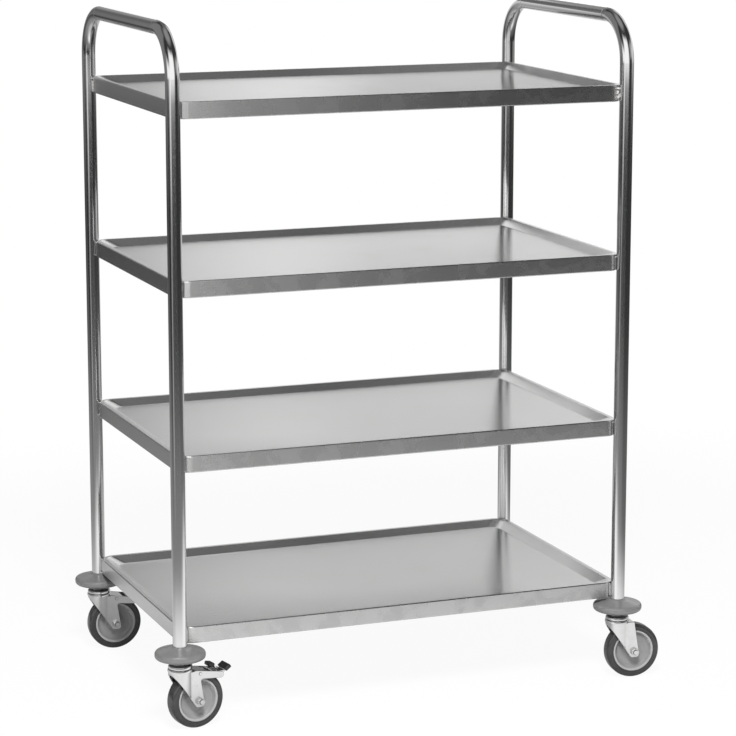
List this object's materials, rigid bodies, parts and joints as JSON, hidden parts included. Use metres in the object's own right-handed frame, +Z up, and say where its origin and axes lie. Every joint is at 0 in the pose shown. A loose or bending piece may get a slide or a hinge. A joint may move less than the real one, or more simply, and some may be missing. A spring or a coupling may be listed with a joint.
{
  "type": "service cart",
  "caption": "Tall catering trolley: bent-tube ends with push handles carry stacked tray shelves on swivel casters with bumper discs, and the left-end casters have foot brakes.",
  "frame": {"origin": "on the floor, midway between the four swivel axes", "axes": "+X along the long side towards the unbraked end, +Y from the front to the back, +Z up"},
  "size_m": [0.9525, 0.5982, 1.209],
  "materials": {
    "polished_tube": "polished stainless steel tube",
    "satin_sheet": "satin stainless steel sheet",
    "weld_metal": "brushed weld beads",
    "bumper_rubber": "matt mid-grey rubber",
    "plug_plastic": "black moulded plastic",
    "bright_steel": "bright zinc-plated steel",
    "race_steel": "pressed and plated steel",
    "fork_steel": "bright plated pressed steel",
    "tyre_rubber": "smooth dark grey rubber tread",
    "rim_plastic": "mid-grey moulded plastic",
    "pedal_plastic": "black moulded plastic"
  },
  "bodies": {
    "frame": {"left_end_frame": "polished_tube", "right_end_frame": "polished_tube", "bottom_shelf": "satin_sheet", "lower_shelf": "satin_sheet", "upper_shelf": "satin_sheet", "top_shelf": "satin_sheet", "shelf_welds": "weld_metal", "shelf_stiffeners": "satin_sheet", "front_left_bumper": "bumper_rubber", "front_left_tube_plug": "plug_plastic", "front_left_king_bolt": "bright_steel", "front_left_upper_race": "race_steel", "front_right_bumper": "bumper_rubber", "front_right_tube_plug": "plug_plastic", "front_right_king_bolt": "bright_steel", "front_right_upper_race": "race_steel", "back_left_bumper": "bumper_rubber", "back_left_tube_plug": "plug_plastic", "back_left_king_bolt": "bright_steel", "back_left_upper_race": "race_steel", "back_right_bumper": "bumper_rubber", "back_right_tube_plug": "plug_plastic", "back_right_king_bolt": "bright_steel", "back_right_upper_race": "race_steel"},
    "front_left_caster": {"front_left_fork": "fork_steel", "front_left_bearing_balls": "bright_steel", "front_left_axle_bolt": "bright_steel", "front_left_axle_nut": "bright_steel", "front_left_brake_pin": "bright_steel"},
    "front_left_wheel": {"front_left_tyre": "tyre_rubber", "front_left_rim": "rim_plastic", "front_left_bush": "plug_plastic"},
    "front_left_brake": {"front_left_brake_lever": "fork_steel", "front_left_brake_pedal": "pedal_plastic"},
    "front_right_caster": {"front_right_fork": "fork_steel", "front_right_bearing_balls": "bright_steel", "front_right_axle_bolt": "bright_steel", "front_right_axle_nut": "bright_steel"},
    "front_right_wheel": {"front_right_tyre": "tyre_rubber", "front_right_rim": "rim_plastic", "front_right_bush": "plug_plastic"},
    "back_left_caster": {"back_left_fork": "fork_steel", "back_left_bearing_balls": "bright_steel", "back_left_axle_bolt": "bright_steel", "back_left_axle_nut": "bright_steel", "back_left_brake_pin": "bright_steel"},
    "back_left_wheel": {"back_left_tyre": "tyre_rubber", "back_left_rim": "rim_plastic", "back_left_bush": "plug_plastic"},
    "back_left_brake": {"back_left_brake_lever": "fork_steel", "back_left_brake_pedal": "pedal_plastic"},
    "back_right_caster": {"back_right_fork": "fork_steel", "back_right_bearing_balls": "bright_steel", "back_right_axle_bolt": "bright_steel", "back_right_axle_nut": "bright_steel"},
    "back_right_wheel": {"back_right_tyre": "tyre_rubber", "back_right_rim": "rim_plastic", "back_right_bush": "plug_plastic"}
  },
  "joints": [
    {"name": "front_left_swivel", "type": "hinge", "parent": "frame", "child": "front_left_caster", "pos_m": [-0.41507, -0.25507, 0.11], "axis": [0, 0, 1], "continuous": true},
    {"name": "front_left_wheel_spin", "type": "hinge", "parent": "front_left_caster", "child": "front_left_wheel", "pos_m": [-0.38759, -0.24973, 0.05], "axis": [-0.1908, 0.9816, 0], "continuous": true},
    {"name": "front_left_brake_press", "type": "hinge", "parent": "front_left_caster", "child": "front_left_brake", "pos_m": [-0.35023, -0.24247, 0.09142], "axis": [-0.1908, 0.9816, 0], "range_deg": [0, 13]},
    {"name": "front_right_swivel", "type": "hinge", "parent": "frame", "child": "front_right_caster", "pos_m": [0.41507, -0.25507, 0.11], "axis": [0, 0, 1], "continuous": true},
    {"name": "front_right_wheel_spin", "type": "hinge", "parent": "front_right_caster", "child": "front_right_wheel", "pos_m": [0.44294, -0.25776, 0.05], "axis": [0.0958, 0.9954, 0], "continuous": true},
    {"name": "back_left_swivel", "type": "hinge", "parent": "frame", "child": "back_left_caster", "pos_m": [-0.41507, 0.25507, 0.11], "axis": [0, 0, 1], "continuous": true},
    {"name": "back_left_wheel_spin", "type": "hinge", "parent": "back_left_caster", "child": "back_left_wheel", "pos_m": [-0.38708, 0.25458, 0.05], "axis": [0.0175, 0.9998, 0], "continuous": true},
    {"name": "back_left_brake_press", "type": "hinge", "parent": "back_left_caster", "child": "back_left_brake", "pos_m": [-0.34902, 0.25392, 0.09142], "axis": [0.0175, 0.9998, 0], "range_deg": [0, 13]},
    {"name": "back_right_swivel", "type": "hinge", "parent": "frame", "child": "back_right_caster", "pos_m": [0.41507, 0.25507, 0.11], "axis": [0, 0, 1], "continuous": true},
    {"name": "back_right_wheel_spin", "type": "hinge", "parent": "back_right_caster", "child": "back_right_wheel", "pos_m": [0.44292, 0.258, 0.05], "axis": [-0.1045, 0.9945, 0], "continuous": true}
  ]
}
